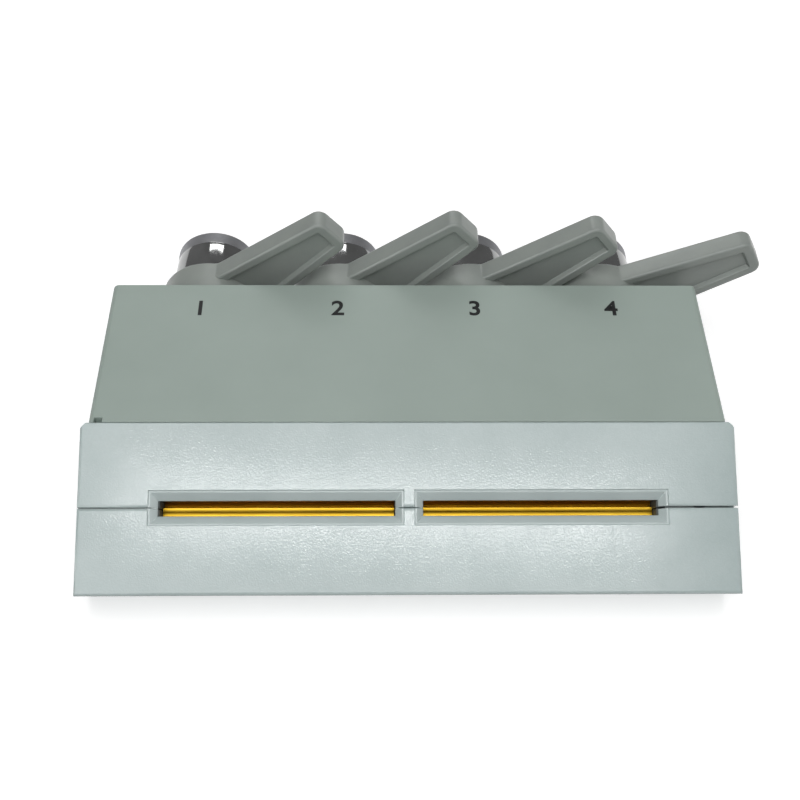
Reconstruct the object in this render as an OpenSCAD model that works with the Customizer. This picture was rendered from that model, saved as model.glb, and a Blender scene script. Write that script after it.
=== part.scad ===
// Four-terminal component test fixture: a grey housing on four lever-locked bayonet plugs, with a sloping
// two-part front block whose slots hold pairs of gilt contact leaves.
// Frame: X to the right, Y back towards the instrument, Z up. The origin is the centre of the underside.

/* [Housing] */
// Width of the housing, side to side
housing_w = 95.2; // [92:0.1:110]
// Depth of the flat top, from its rear edge to the front block
top_d = 28.3; // [26:0.1:40]
// Height of the housing
housing_h = 21; // [20.5:0.1:24]
// Thickness of the housing's walls
wall = 1.5; // [1.2:0.1:2]
// Radius of the long upper edges
edge_r = 1; // [0.4:0.1:1.4]
// Thickness of the base plate
base_t = 1.5; // [1:0.1:2]
// Thickness of the rear panel
panel_t = 2.5; // [2:0.1:3]
// Width of the bend relief in the front left corner
relief_w = 1; // [0.6:0.1:1.4]
// Depth of the bend relief
relief_d = 0.9; // [0.5:0.1:1.4]

/* [Front block] */
// Width of the block
block_w = 97.4; // [94:0.1:112]
// Length of the sloping face, from its top edge to its bottom edge
face_len = 25.4; // [24:0.1:27]
// Slope of the face below the horizontal, in degrees
face_slope = 29; // [26:0.5:31]
// Chamfer of the face's two top corners
corner_chamfer = 0.9; // [0.4:0.1:1.6]
// Radius of the face's side edges
face_edge_r = 0.5; // [0.2:0.1:1]
// Width of the line between the two halves
parting_w = 0.3; // [0.2:0.05:0.5]
// Depth of the line between the two halves
parting_d = 1; // [0.5:0.1:1.4]

/* [Slots] */
// Length of a slot's opening
slot_len = 35; // [30:0.1:38]
// Width of a slot's opening
slot_gap = 2.25; // [1.8:0.05:2.6]
// Depth of the bevel around the opening, and its width along the opening's long sides
bevel = 1.15; // [0.8:0.05:1.3]
// Width of the bevel at the opening's two ends
end_bevel = 0.95; // [0.7:0.05:1.3]
// Width of the ledge around the bevel
ledge_w = 0.3; // [0.2:0.05:0.5]
// Depth of the ledge below the face
ledge_d = 0.3; // [0.2:0.05:0.4]
// Thickness of the lip under the bevel
lip_t = 0.4; // [0.3:0.05:0.6]
// Distance between the two slots' ledges
slot_web = 1.6; // [1.2:0.1:3]

/* [Contacts] */
// Thickness of a contact leaf
leaf_t = 0.3; // [0.2:0.02:0.34]
// Gap between the noses of two facing leaves
nose_gap = 0.15; // [0.1:0.05:0.4]
// Distance by which the noses of both leaves lie below the middle of the slot
nose_shift = 0.3; // [0:0.05:0.4]
// Half the distance between the roots of two facing leaves
root_v = 1.3; // [1.2:0.05:1.5]
// Width of the solder terminals
terminal_w = 3; // [2:0.1:4]
// Distance of a solder terminal's middle from the end of its slot
terminal_inset = 5.5; // [4:0.1:10]
// Diameter of the signal leads
lead_d = 1.5; // [1:0.1:1.6]

/* [Connectors] */
// Distance between neighbouring connector axes
plug_pitch = 22; // [22:0.1:24]
// Depth of the connector axes below the flat top
axis_drop = 10.25; // [10:0.05:11]
// Diameter of the coupling sleeves
sleeve_d = 13.7; // [13.2:0.05:14.5]
// Reach of the coupling sleeves behind the rear panel
sleeve_reach = 16.1; // [15:0.1:18]
// Bore of the coupling sleeves, around the mating jack
sleeve_bore = 9.76; // [9.7:0.02:9.9]
// Diameter of the plug's outer contact, inside the mating jack
barrel_d = 8.1; // [8:0.02:8.16]
// Diameter of the plug's centre pin
pin_d = 1.36; // [1.3:0.02:1.4]
// Diameter of the threaded shank through the rear panel
shank_d = 9.4; // [9:0.1:9.5]
// Distance across the flats of the panel nut
nut_af = 13; // [12:0.1:13]

/* [Levers] */
// Diameter of a lever's hub
hub_d = 16.8; // [16.4:0.1:17]
// Reach of the hub behind the rear panel
hub_reach = 7.1; // [6.6:0.1:7.6]
// Length of a lever's arm from the connector axis to its tip
arm_len = 28; // [24:0.1:29]
// Width of the arm at its tip
arm_tip_w = 6.8; // [5.5:0.1:7]
// Taper of each side of the arm, in degrees
arm_taper = 5.1; // [3:0.1:6]
// Thickness of the arm along the connector axis
arm_t = 3.7; // [3:0.1:4.2]
// Chamfer of the arm's long edges and of its tip
arm_edge = 0.5; // [0.2:0.1:0.8]
// Radius of the arm's two tip corners
arm_tip_r = 1.8; // [1:0.1:2.4]
// Width of the rim around the arm's pocket
arm_rim = 1.8; // [1:0.05:2.2]
// Depth of the arm's pocket
pocket_d = 0.7; // [0.4:0.1:2]
// Angle of lever 1 above the horizontal
lever_1_angle = 40.2; // [38:0.1:48]
// Angle of lever 2 above the horizontal
lever_2_angle = 41; // [38:0.1:48]
// Angle of lever 3 above the horizontal
lever_3_angle = 38; // [38:0.1:48]
// Angle of lever 4 above the horizontal
lever_4_angle = 28.6; // [20:0.1:48]

/* [Fasteners] */
// Diameter of the small screws in the base and the rear panel
small_screw_d = 2.5; // [2:0.1:2.6]
// Diameter of the screws in the front block
block_screw_d = 3; // [2.5:0.1:3.2]

/* [Hidden] */
$fn = 64;
// Clearance between pieces that are assembled face to face
fit = 0.1;
// Radial clearance of a screw or a shank in its hole
hole_fit = 0.05;
// Radial clearance of the turning sleeve on its plug
run_fit = 0.07;
// Length by which a cutting shape passes the face that it cuts
over = 1;

// Housing profile
slope_sin = sin(face_slope);
slope_cos = cos(face_slope);
block_t = (housing_h - face_len * slope_sin) / slope_cos;
base_d = top_d + face_len * slope_cos - block_t * slope_sin;
rear_y = base_d / 2;
face_top_y = rear_y - top_d;
inner_w = housing_w - 2 * wall;
block_back = block_t + wall;
// A point of the side profile, from its distance down the face and its depth below the face
function profile(down, deep) = [
    face_top_y - down * slope_cos + deep * slope_sin,
    housing_h - down * slope_sin - deep * slope_cos
];
// Distance down the face at which a given depth below the face comes to a given height
function down_at(deep, height) = (housing_h - height - deep * slope_cos) / slope_sin;

// Slots and contacts, measured down the face, out from the parting line and deep below the face
parting = face_len / 2;
recess_len = slot_len + 2 * (end_bevel + ledge_w);
recess_w = slot_gap + 2 * (bevel + ledge_w);
slot_pitch = recess_len + slot_web;
lip_deep = ledge_d + bevel + lip_t;
cavity_half = 3.8;
mouth_step = 0.28;
lip_gap = 0.3;
root_rise = 1.34;
nose_rise = 3.2;
nose_v = (nose_gap + leaf_t) / 2;
mouth_v = slot_gap / 2 + mouth_step;
leaf_top_deep = lip_deep + lip_gap + leaf_t / 2;
pivot_deep = block_t - root_rise;
nose_deep = pivot_deep - nose_rise;
leaf_swing_v = 2.8;
shelf_gap = 0.5;
shelf_rise = 2.4;
shelf_v = root_v + leaf_t / 2 + shelf_gap;
shelf_deep = pivot_deep - shelf_rise;
clamp_gap = 0.15;
clamp_rise = 0.5;
clamp_v = root_v + leaf_t / 2 + clamp_gap;
clamp_deep = pivot_deep - clamp_rise;
outer_cheek = 0.15;
inner_cheek = 0.05;
leaf_end_gap = 0.1;
bend_before = [0.72, -0.08];
bend_after = [0.35, 0.7];
straight_from = 1.6;
// Middle line of a leaf, out from the parting line and deep below the face
function leaf_path(half) = let (nose = [nose_v - half * nose_shift, nose_deep]) [
    [mouth_v, leaf_top_deep],
    nose + bend_before,
    nose,
    nose + bend_after,
    [root_v, nose_deep + straight_from],
    [root_v, pivot_deep]
];
terminal_reach = 2.5;
terminal_top = pivot_deep + leaf_t / 2 + fit;
terminal_end = block_back + terminal_reach;
window_half = 2.7;
window_inset = 1;
window_len = slot_len - 2 * window_inset;
// The outer connectors feed the upper leaves near the slots' outer ends, the inner ones the lower leaves
function is_outer(i) = i == 0 || i == 3;
function terminal_x(i) =
    (i < 2 ? -1 : 1) * (slot_pitch / 2 + (is_outer(i) ? 1 : -1) * (slot_len / 2 - terminal_inset));
lead_gap = 0.3;
lead_side_gap = 0.35;
knee_reach = 2.5;
knee_grow = 0.2;

// Connectors
axis_z = housing_h - axis_drop;
lever_angle = [lever_1_angle, lever_2_angle, lever_3_angle, lever_4_angle];
function plug_x(i) = (i - 1.5) * plug_pitch;
flange_r = 6;
flange_t = 1.2;
neck_r = barrel_d / 2 + 0.3;
shank_inside = 5.5;
shank_len = panel_t + shank_inside;
ring_at = 3.85;
ring_t = 0.5;
ring_depth = 0.35;
sleeve_front = 1.6;
sleeve_flange = [2.2, 3.6];
washer_r = 5.5;
collar_r = 6.35;
collar_flat = 6;
band_len = 2.5;
band_step = 0.12;
sleeve_chamfer = 0.35;
groove_d = 2.2;
groove_r = 5.65;
groove_turn = 90;
groove_steps = 9;
groove_rise = 5;
entry_angle = 65;
insulator_r = 2.4;
insulator_end = 10.5;
barrel_end = sleeve_reach - 2;
pin_end = barrel_end - 1;
cup_len = 2.5;
cup_r = 1.25;
cup_gap = 0.45;
cup_floor = 0.6;
nut_t = 2.2;
hub_front = 0.5;
hub_edge = 0.6;

// Fasteners
head_ratio = 1.8;
small_head_r = small_screw_d / 2 * head_ratio;
screw_end_gap = 0.5;
boss_wall = 1.35;
boss_sink = 0.25;
boss_h = 5.5;
boss_r = small_screw_d / 2 + boss_wall;
boss_x = housing_w / 2 - wall - boss_r + boss_sink;
boss_behind = 14.6;
base_screw_len = 4.5;
base_screw_y = [rear_y - boss_behind, profile(down_at(block_back, base_t + boss_h), block_back)[0]];
lug_len = 8;
lug_floor = 1.5;
lug_rise = boss_r + 0.6;
lug_x = plug_pitch;
lug_hole = panel_t + lug_len - lug_floor;
block_screw_down = 4.5;
block_screw_x = plug_pitch;
block_screw_bite = 4;
block_head_t = 1.8;
block_head_r = block_screw_d * 0.9;
jaw_screw_x = (slot_pitch / 2 + recess_len / 2 + block_w / 2) / 2;
jaw_screw_deep = 3.8;
jaw_head_t = 1.8;
jaw_head_sink = 0.2;
jaw_head_r = block_screw_d * 0.9;
jaw_seat = jaw_head_t + jaw_head_sink;
jaw_screw_end = 5;
jaw_screw_len = face_len - jaw_seat - jaw_screw_end;

sides = ["left", "right"];
halves = ["upper", "lower"];
slot_pieces = ["carrier", "contact", "terminal"];
plug_pieces = [
    "lever", "coupling_sleeve", "plug_body", "plug_insulator",
    "centre_pin", "panel_nut", "spring_washer", "retaining_ring", "signal_lead"
];

housing_grey = "#8F9B93";
block_white = "#D8E0DE";
lever_grey = "#868E88";
carrier_grey = "#3C4242";
gilt = "#E0A820";
nickel = "#C8C8CC";
polymer = "#F0F0E8";
steel = "#A8A8AC";
lead_red = "#C04030";

// Extrudes a Y-Z outline along X
module along_x(length) {
    rotate([90, 0, 90])
        linear_extrude(length, center = true)
            children();
}

// Extrudes an X-Z outline along Y
module along_y(length) {
    rotate([90, 0, 0])
        linear_extrude(length, center = true)
            children();
}

// Places children on the sloping face: X along it, Y up the slope from its top edge, Z out of it
module on_face() {
    translate([0, face_top_y, housing_h])
        rotate([face_slope, 0, 0])
            children();
}

// Places children on a slot's middle, with Y out from the parting line and X towards the slot's outer end
module in_slot(side, half) {
    on_face()
        translate([side * slot_pitch / 2, -parting, 0])
            mirror([side < 0 ? 1 : 0, 0, 0])
                mirror([0, half < 0 ? 1 : 0, 0])
                    children();
}

// Places children on a connector's axis, with Z running back from the rear panel's outer face
module on_axis(i) {
    translate([plug_x(i), rear_y, axis_z])
        rotate([-90, 0, 0])
            children();
}

// A rectangle with its two upper corners rounded, standing on the X axis
module round_topped(w, h, r) {
    translate([-w / 2, 0])
        square([w, h - r]);
    translate([-w / 2 + r, 0])
        square([w - 2 * r, h]);
    for (x = [-1, 1])
        translate([x * (w / 2 - r), h - r])
            circle(r);
}

// A countersunk screw, head face at the origin, shank along +Z, with a hexagonal socket
module flush_screw(d, head_r, length) {
    head_h = head_r - d / 2;
    difference() {
        union() {
            cylinder(h = head_h, r1 = head_r, r2 = d / 2);
            cylinder(h = length, d = d);
        }
        translate([0, 0, -over])
            cylinder(h = over + head_h * 0.8, r = d * 0.28, $fn = 6);
    }
}

// The hole that such a screw goes through
module flush_hole(d, head_r, length) {
    head_h = head_r - d / 2;
    cylinder(h = head_h, r1 = head_r + hole_fit, r2 = d / 2 + hole_fit);
    translate([0, 0, -over])
        cylinder(h = over, r = head_r + hole_fit);
    cylinder(h = length, r = d / 2 + hole_fit);
}

// A screw with a round head below the origin and a shank along +Z
module capped_screw(d, head_r, head_t, length) {
    difference() {
        union() {
            translate([0, 0, -head_t])
                cylinder(h = head_t, r = head_r);
            cylinder(h = length, d = d);
        }
        translate([0, 0, -head_t - over])
            cylinder(h = over + head_t * 0.6, r = d * 0.45, $fn = 6);
    }
}

module at_base_screws() {
    for (x = [-1, 1])
        for (y = base_screw_y)
            translate([x * boss_x, y, 0])
                children();
}

// Places children on the panel screws' axes, with Y towards the wall that their lugs stand on
module at_panel_screws(rows = [-1, 1]) {
    for (x = [-1, 1])
        for (row = rows)
            translate([x * lug_x, rear_y, row > 0 ? housing_h - wall - lug_rise : base_t + lug_rise])
                rotate([90, row > 0 ? 0 : 180, 0])
                    children();
}

// A lug behind the rear panel for one of its screws, sunk a little into the wall that it stands on
module panel_lug() {
    translate([0, 0, panel_t])
        linear_extrude(lug_len) {
            circle(boss_r);
            translate([-boss_r, 0])
                square([2 * boss_r, lug_rise + boss_sink]);
        }
}

module at_block_screws() {
    for (x = [-1, 1])
        on_face()
            translate([x * block_screw_x, -block_screw_down, -block_back])
                children();
}

module at_jaw_screws() {
    for (x = [-1, 1])
        on_face()
            translate([x * jaw_screw_x, -face_len + jaw_seat, -jaw_screw_deep])
                rotate([-90, 0, 0])
                    children();
}

module housing_outside() {
    intersection() {
        along_x(housing_w)
            polygon([
                [rear_y, 0],
                [rear_y, housing_h],
                profile(0, 0),
                profile(0, block_t),
                profile(face_len, block_t)
            ]);
        along_y(2 * base_d)
            round_topped(housing_w, housing_h, edge_r);
    }
}

module housing_inside() {
    along_x(inner_w)
        polygon([
            [rear_y + over, -over],
            [rear_y + over, housing_h - wall],
            profile(-wall, wall * (1 + slope_sin) / slope_cos),
            profile(-wall, block_back),
            profile(down_at(block_back, -over), block_back)
        ]);
}

// Grey shell: top, sides and the sloping wall that carries the front block, open below and behind
module housing() {
    color(housing_grey)
        difference() {
            union() {
                difference() {
                    housing_outside();
                    housing_inside();
                }
                intersection() {
                    housing_outside();
                    union() {
                        at_base_screws()
                            translate([0, 0, base_t])
                                cylinder(h = housing_h, r = boss_r);
                        at_panel_screws([1])
                            panel_lug();
                    }
                }
            }
            at_base_screws()
                cylinder(h = base_screw_len + screw_end_gap, r = small_screw_d / 2 + hole_fit);
            at_panel_screws([1])
                cylinder(h = lug_hole, r = small_screw_d / 2 + hole_fit);
            at_block_screws()
                translate([0, 0, -over])
                    cylinder(h = wall + 2 * over, r = block_screw_d / 2 + hole_fit);
            for (side = [-1, 1])
                on_face()
                    translate([side * slot_pitch / 2, -parting, -block_t - wall / 2])
                        cube([window_len, 2 * window_half, 2 * wall], center = true);
            translate([-housing_w / 2 + relief_w, face_top_y - over, housing_h - relief_d])
                cube([relief_w, over + relief_d, relief_d + over]);
        }
}

// Bottom cover, with two lugs for the rear panel's lower screws
module base_plate() {
    front_y = profile(down_at(block_back, base_t), block_back)[0] + fit;
    color(steel)
        difference() {
            union() {
                translate([-inner_w / 2 + fit, front_y, 0])
                    cube([inner_w - 2 * fit, rear_y - front_y, base_t]);
                at_panel_screws([-1])
                    panel_lug();
            }
            at_base_screws()
                flush_hole(small_screw_d, small_head_r, base_t + over);
            at_panel_screws([-1])
                cylinder(h = lug_hole, r = small_screw_d / 2 + hole_fit);
        }
}

module rear_panel() {
    color(steel)
        difference() {
            translate([-inner_w / 2 + fit, rear_y - panel_t, base_t])
                cube([inner_w - 2 * fit, panel_t, housing_h - wall - fit - base_t]);
            for (i = [0:3])
                on_axis(i)
                    translate([0, 0, -panel_t - over])
                        cylinder(h = panel_t + 2 * over, r = shank_d / 2 + hole_fit);
            at_panel_screws()
                flush_hole(small_screw_d, small_head_r, panel_t + over);
        }
}

// The bevelled mouth of one slot and the cavity below it
module slot_cut() {
    bevel_end = ledge_d + bevel;
    translate([-recess_len / 2, -recess_w / 2, -ledge_d])
        cube([recess_len, recess_w, ledge_d + over]);
    intersection() {
        along_x(recess_len)
            polygon([
                [-slot_gap / 2 - bevel, -ledge_d],
                [slot_gap / 2 + bevel, -ledge_d],
                [slot_gap / 2, -bevel_end],
                [-slot_gap / 2, -bevel_end]
            ]);
        along_y(recess_w)
            polygon([
                [-slot_len / 2 - end_bevel, -ledge_d],
                [slot_len / 2 + end_bevel, -ledge_d],
                [slot_len / 2, -bevel_end],
                [-slot_len / 2, -bevel_end]
            ]);
    }
    translate([-slot_len / 2, -slot_gap / 2, -lip_deep])
        cube([slot_len, slot_gap, lip_deep - ledge_d]);
    translate([-recess_len / 2, -cavity_half, -block_t - over])
        cube([recess_len, 2 * cavity_half, block_t + over - lip_deep]);
}

// The whole front block, with both slots, in the frame of its face
module block_blank() {
    half_w = block_w / 2;
    difference() {
        intersection() {
            translate([0, 0, -block_t])
                linear_extrude(block_t)
                    polygon([
                        [-half_w, -face_len],
                        [half_w, -face_len],
                        [half_w, -corner_chamfer],
                        [half_w - corner_chamfer, 0],
                        [-half_w + corner_chamfer, 0],
                        [-half_w, -corner_chamfer]
                    ]);
            translate([0, -face_len / 2, -block_t])
                along_y(2 * face_len)
                    round_topped(block_w, block_t, face_edge_r);
        }
        for (side = [-1, 1])
            translate([side * slot_pitch / 2, -parting, 0])
                slot_cut();
        translate([-half_w - over, -parting - parting_w / 2, -parting_d])
            cube([block_w + 2 * over, parting_w, parting_d + over]);
    }
}

// One half of the front block: the upper half lies above the parting line, the lower half below it
module jaw(half) {
    difference() {
        on_face()
            intersection() {
                block_blank();
                translate([-block_w, half > 0 ? -parting : -parting - face_len, -block_t - over])
                    cube([2 * block_w, face_len, block_t + 2 * over]);
            }
        at_jaw_screws()
            cylinder(h = jaw_screw_len + screw_end_gap, r = block_screw_d / 2 + hole_fit);
        at_jaw_screws()
            translate([0, 0, -jaw_seat - over])
                cylinder(h = jaw_seat + over, r = jaw_head_r + hole_fit);
        at_block_screws()
            cylinder(h = wall + block_screw_bite + screw_end_gap, r = block_screw_d / 2 + hole_fit);
    }
}

module upper_jaw() {
    color(block_white)
        jaw(1);
}

module lower_jaw() {
    color(block_white)
        jaw(-1);
}

// Dark insulating holder of one leaf, with a cheek at each end of the slot
module carrier(side, half) {
    free_len = slot_len - outer_cheek - inner_cheek;
    color(carrier_grey)
        in_slot(side, half)
            difference() {
                translate([-recess_len / 2 + fit, fit, -block_t])
                    cube([recess_len - 2 * fit, cavity_half - 2 * fit, block_t - lip_deep - fit]);
                translate([-slot_len / 2 + inner_cheek, -over, 0]) {
                    translate([0, 0, -shelf_deep])
                        cube([free_len, over + leaf_swing_v, shelf_deep]);
                    translate([0, 0, -clamp_deep])
                        cube([free_len, over + shelf_v, clamp_deep]);
                    translate([0, 0, -block_t - over])
                        cube([free_len, over + clamp_v, block_t + over]);
                }
            }
}

// A strip of even thickness along a path, as an outline with round bends
module strip(path, t) {
    for (k = [0:len(path) - 2]) {
        step = path[k + 1] - path[k];
        translate(path[k])
            rotate(atan2(step[1], step[0]))
                translate([0, -t / 2])
                    square([norm(step), t]);
    }
    for (p = path)
        translate(p)
            circle(d = t);
}

// Gilt spring leaf: a lead-in, a nose that touches the component's wire, and a root
module contact(side, half) {
    leaf_start = -slot_len / 2 + inner_cheek + leaf_end_gap;
    leaf_end = slot_len / 2 - outer_cheek - leaf_end_gap;
    color(gilt)
        in_slot(side, half)
            translate([(leaf_start + leaf_end) / 2, 0, 0])
                along_x(leaf_end - leaf_start)
                    strip([for (p = leaf_path(half)) [p[0], -p[1]]], leaf_t);
}

// Solder terminal at the root of a leaf, towards the connector that feeds it
module terminal(side, half) {
    i = side < 0 ? (half > 0 ? 0 : 1) : (half > 0 ? 3 : 2);
    color(gilt)
        on_face()
            translate([terminal_x(i), -parting + half * root_v, 0])
                translate([-terminal_w / 2, -leaf_t / 2, -terminal_end])
                    cube([terminal_w, leaf_t, terminal_end - terminal_top]);
}

// Wire from a connector's solder cup, over a knee, to the upper side of its terminal
module signal_lead(i) {
    half = is_outer(i) ? 1 : -1;
    down = parting - half * root_v - leaf_t / 2 - lead_gap;
    joint = profile(down, block_back + lead_d / 2 + lead_side_gap);
    start_y = rear_y - shank_len - cup_gap - cup_floor - fit;
    knee_y = rear_y - shank_len - cup_gap - cup_len - knee_reach;
    run = [terminal_x(i) - plug_x(i), joint[0] - knee_y, joint[1] - axis_z];
    color(lead_red)
        translate([plug_x(i), knee_y, axis_z]) {
            rotate([-90, 0, 0])
                cylinder(h = start_y - knee_y, d = lead_d);
            sphere(d = lead_d + knee_grow);
            rotate([0, acos(run[2] / norm(run)), atan2(run[1], run[0])])
                cylinder(h = norm(run), d = lead_d);
        }
}

// Plated plug: threaded shank, flange on the rear panel, neck for the sleeve and a slit outer contact
module plug_body(i) {
    barrel_r = barrel_d / 2;
    groove_floor = neck_r - ring_depth;
    slit_len = (barrel_end - insulator_end) * 1.6;
    color(nickel)
        on_axis(i)
            difference() {
                rotate_extrude()
                    polygon([
                        [insulator_r + 0.02, -shank_len],
                        [shank_d / 2, -shank_len],
                        [shank_d / 2, 0],
                        [flange_r, 0],
                        [flange_r, flange_t],
                        [neck_r, flange_t],
                        [neck_r, ring_at],
                        [groove_floor, ring_at],
                        [groove_floor, ring_at + ring_t + fit],
                        [neck_r, ring_at + ring_t + fit],
                        [neck_r, ring_at + ring_t + 0.6],
                        [barrel_r, ring_at + ring_t + 0.9],
                        [barrel_r, barrel_end - 0.4],
                        [barrel_r - 0.3, barrel_end],
                        [barrel_r - 0.65, barrel_end],
                        [barrel_r - 0.65, ring_at + ring_t + 2],
                        [insulator_r + 0.02, ring_at + ring_t + 2]
                    ]);
                for (turn = [0, 90])
                    rotate([0, 0, turn])
                        translate([-barrel_d, -0.25, barrel_end - slit_len])
                            cube([2 * barrel_d, 0.5, slit_len + over]);
            }
}

module plug_insulator(i) {
    color(polymer)
        on_axis(i)
            rotate_extrude()
                polygon([
                    [pin_d / 2 + 0.02, -shank_len - cup_gap + hole_fit],
                    [insulator_r, -shank_len - cup_gap + hole_fit],
                    [insulator_r, insulator_end - 0.3],
                    [insulator_r - 0.3, insulator_end],
                    [pin_d / 2 + 0.02, insulator_end]
                ]);
}

// Centre pin with a rounded tip and a solder cup at its inner end
module centre_pin(i) {
    pin_r = pin_d / 2;
    cup_front = -shank_len - cup_gap;
    cup_back = cup_front - cup_len;
    color(gilt)
        on_axis(i)
            rotate_extrude()
                polygon([
                    [0, cup_front - cup_floor],
                    [lead_d / 2 + hole_fit, cup_front - cup_floor],
                    [lead_d / 2 + hole_fit, cup_back],
                    [cup_r, cup_back],
                    [cup_r, cup_front],
                    [pin_r, cup_front],
                    [pin_r, pin_end - 0.8],
                    [pin_r * 0.4, pin_end],
                    [0, pin_end]
                ]);
}

module panel_nut(i) {
    color(nickel)
        on_axis(i)
            translate([0, 0, -panel_t - nut_t])
                difference() {
                    cylinder(h = nut_t, r = nut_af / 2 / cos(30), $fn = 6);
                    translate([0, 0, -over])
                        cylinder(h = nut_t + 2 * over, r = shank_d / 2 + hole_fit);
                }
}

// Coned spring washer between the plug's flange and the sleeve
module spring_washer(i) {
    color(steel)
        on_axis(i)
            rotate_extrude()
                polygon([
                    [neck_r + fit, flange_t],
                    [neck_r + fit + 0.3, flange_t],
                    [washer_r, sleeve_flange[0] - 0.45],
                    [washer_r, sleeve_flange[0] - 0.15],
                    [neck_r + fit, flange_t + 0.3]
                ]);
}

// Split ring that keeps the sleeve on the plug
module retaining_ring(i) {
    color(steel)
        on_axis(i)
            translate([0, 0, ring_at + fit / 2])
                rotate([0, 0, 110])
                    rotate_extrude(angle = 320)
                        translate([neck_r - ring_depth + 0.02, 0])
                            square([sleeve_bore / 2 - 0.08 - neck_r + ring_depth - 0.02, ring_t]);
}

// The part of the sleeve that the lever's hub grips: a collar with two flats
module collar_outline(grow) {
    intersection() {
        circle(collar_r + grow);
        square([2 * (collar_flat + grow), 4 * collar_r], center = true);
    }
}

// Bright sleeve with bayonet grooves inside: it turns on the plug and draws the mating jack in
module coupling_sleeve(i) {
    bore_r = sleeve_bore / 2;
    sleeve_r = sleeve_d / 2;
    color(nickel)
        on_axis(i)
            rotate([0, 0, -lever_angle[i]])
                difference() {
                    union() {
                        translate([0, 0, sleeve_front])
                            linear_extrude(hub_reach + fit - sleeve_front + over)
                                collar_outline(0);
                        rotate_extrude()
                            polygon([
                                [bore_r - 0.2, hub_reach + fit],
                                [sleeve_r, hub_reach + fit],
                                [sleeve_r, sleeve_reach - band_len],
                                [sleeve_r - band_step, sleeve_reach - band_len],
                                [sleeve_r - band_step, sleeve_reach - sleeve_chamfer],
                                [sleeve_r - band_step - sleeve_chamfer, sleeve_reach],
                                [bore_r - 0.2, sleeve_reach]
                            ]);
                    }
                    translate([0, 0, sleeve_front - over])
                        cylinder(h = sleeve_flange[0] - sleeve_front + over, r = washer_r + fit);
                    cylinder(h = sleeve_reach, r = neck_r + run_fit);
                    translate([0, 0, sleeve_flange[1]])
                        cylinder(h = sleeve_reach, r = bore_r);
                    for (start = [entry_angle, entry_angle + 180])
                        rotate([0, 0, start]) {
                            translate([0, -groove_d / 2, sleeve_reach - 3])
                                cube([groove_r, groove_d, 3 + over]);
                            for (k = [0:groove_steps])
                                translate([0, 0, sleeve_reach - 3 - groove_rise * k / groove_steps])
                                    rotate([0, 90, groove_turn * k / groove_steps])
                                        cylinder(h = groove_r, d = groove_d);
                        }
                }
}

// Outline of the arm from the axis to its tip, drawn in by an inset, with round tip corners
module arm_outline(inset, tip_r) {
    tip = arm_len - inset;
    side_v = arm_tip_w / 2 - inset / cos(arm_taper) + inset * tan(arm_taper);
    root_half = side_v + tip * tan(arm_taper);
    centre_u = tip - tip_r;
    centre_v = side_v + tip_r * tan(arm_taper) - tip_r / cos(arm_taper);
    touch_u = centre_u + tip_r * sin(arm_taper);
    touch_v = centre_v + tip_r * cos(arm_taper);
    polygon([
        [0, -root_half],
        [touch_u, -touch_v],
        [tip, -centre_v],
        [tip, centre_v],
        [touch_u, touch_v],
        [0, root_half]
    ]);
    for (v = [-centre_v, centre_v])
        translate([centre_u, v])
            circle(tip_r);
}

// A flat piece as thick as the arm, with one edge at x = 0 and chamfers along that edge
module chamfered_edge() {
    polygon([
        [-2 * arm_len, hub_reach - arm_t],
        [-arm_edge, hub_reach - arm_t],
        [0, hub_reach - arm_t + arm_edge],
        [0, hub_reach - arm_edge],
        [-arm_edge, hub_reach],
        [-2 * arm_len, hub_reach]
    ]);
}

// The arm without its pocket: both long edges and the tip are chamfered
module arm_blank() {
    intersection() {
        translate([0, 0, hub_reach - arm_t - over])
            linear_extrude(arm_t + 2 * over)
                arm_outline(0, arm_tip_r);
        translate([arm_len, 0, 0])
            along_y(2 * arm_len)
                chamfered_edge();
        intersection_for (v = [0, 1])
            mirror([0, v, 0])
                translate([arm_len, arm_tip_w / 2, 0])
                    rotate([0, 0, -arm_taper])
                        along_x(3 * arm_len)
                            chamfered_edge();
    }
}

// Plastic lever: a hub on the sleeve's collar and a tapered arm with a pocket in its front
module lever(i) {
    hub_r = hub_d / 2;
    arm_front = hub_reach - arm_t;
    color(lever_grey)
        on_axis(i)
            rotate([0, 0, -lever_angle[i]])
                difference() {
                    union() {
                        rotate_extrude()
                            polygon([
                                [0, hub_front],
                                [hub_r - hub_edge, hub_front],
                                [hub_r, hub_front + hub_edge],
                                [hub_r, hub_reach - hub_edge],
                                [hub_r - hub_edge, hub_reach],
                                [0, hub_reach]
                            ]);
                        difference() {
                            arm_blank();
                            translate([0, 0, arm_front - over])
                                linear_extrude(pocket_d + over)
                                    arm_outline(arm_rim, 0.4);
                        }
                    }
                    translate([0, 0, hub_front - over])
                        linear_extrude(hub_reach + 2 * over)
                            collar_outline(0.03);
                    translate([0, 0, hub_front - over])
                        cylinder(h = sleeve_front - hub_front + over, r = flange_r + 0.6);
                }
}

module base_screws() {
    color(steel)
        at_base_screws()
            flush_screw(small_screw_d, small_head_r, base_screw_len);
}

module panel_screws() {
    color(steel)
        at_panel_screws()
            flush_screw(small_screw_d, small_head_r, lug_hole - screw_end_gap);
}

module block_screws() {
    color(steel)
        at_block_screws()
            capped_screw(block_screw_d, block_head_r, block_head_t, wall + block_screw_bite);
}

module jaw_screws() {
    color(steel)
        at_jaw_screws()
            capped_screw(block_screw_d, jaw_head_r, jaw_head_t, jaw_screw_len);
}

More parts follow.
